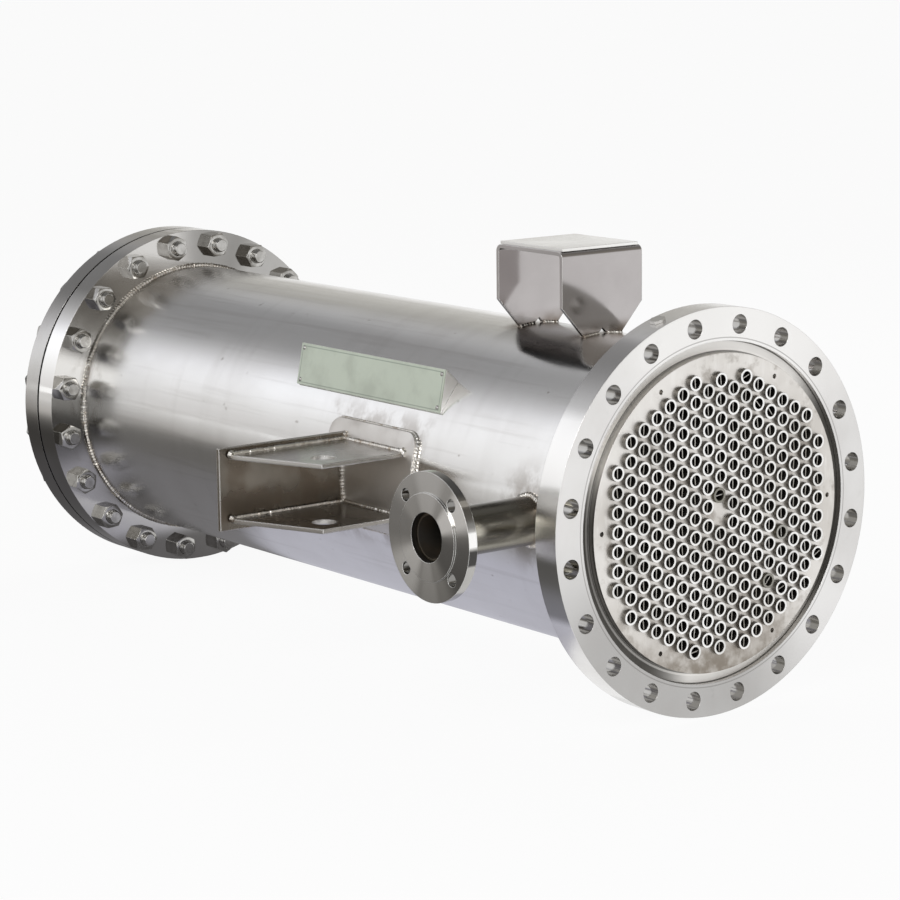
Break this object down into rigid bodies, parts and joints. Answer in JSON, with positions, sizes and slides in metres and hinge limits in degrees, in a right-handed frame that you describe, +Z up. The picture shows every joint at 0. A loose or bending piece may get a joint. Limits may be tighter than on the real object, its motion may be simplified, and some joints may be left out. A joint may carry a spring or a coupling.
{
  "type": "shell and tube heat exchanger",
  "caption": "Horizontal stainless shell and tube heat exchanger with an open drilled tubesheet, bolted rear cover, side lugs, a top stool and flanged side nozzles.",
  "frame": {"origin": "centre of the front flange face, on the shell axis", "axes": "+X along the shell axis, out of the open tube end; +Z up; the near nozzle leaves towards -Y"},
  "size_m": [1.267, 0.794, 0.5673],
  "materials": {
    "shell_steel": "satin",
    "machined_steel": "turned",
    "sheet_steel": "satin",
    "tube_steel": "bright",
    "pipe_steel": "satin",
    "plate_steel": "satin",
    "bright_plate": "polished",
    "gasket": "matte",
    "nameplate": "satin"
  },
  "bodies": {
    "root": {"shell": "shell_steel", "front_flange": "machined_steel", "rear_flange": "machined_steel", "rear_gasket": "gasket", "rear_cover": "machined_steel", "front_tubesheet": "sheet_steel", "tubes": "tube_steel", "tube_inserts": "tube_steel", "inlet_pipe": "pipe_steel", "inlet_flange": "machined_steel", "outlet_pipe": "pipe_steel", "outlet_flange": "machined_steel", "near_lug_pad": "plate_steel", "near_lug_back": "plate_steel", "near_lug_top_gusset": "plate_steel", "near_lug_bottom_gusset": "plate_steel", "far_lug_pad": "plate_steel", "far_lug_back": "plate_steel", "far_lug_top_gusset": "plate_steel", "far_lug_bottom_gusset": "plate_steel", "stool_channel": "bright_plate", "stool_pad": "bright_plate", "nameplate_holder": "plate_steel", "nameplate": "nameplate", "vent_plug": "machined_steel"}
  },
  "joints": []
}
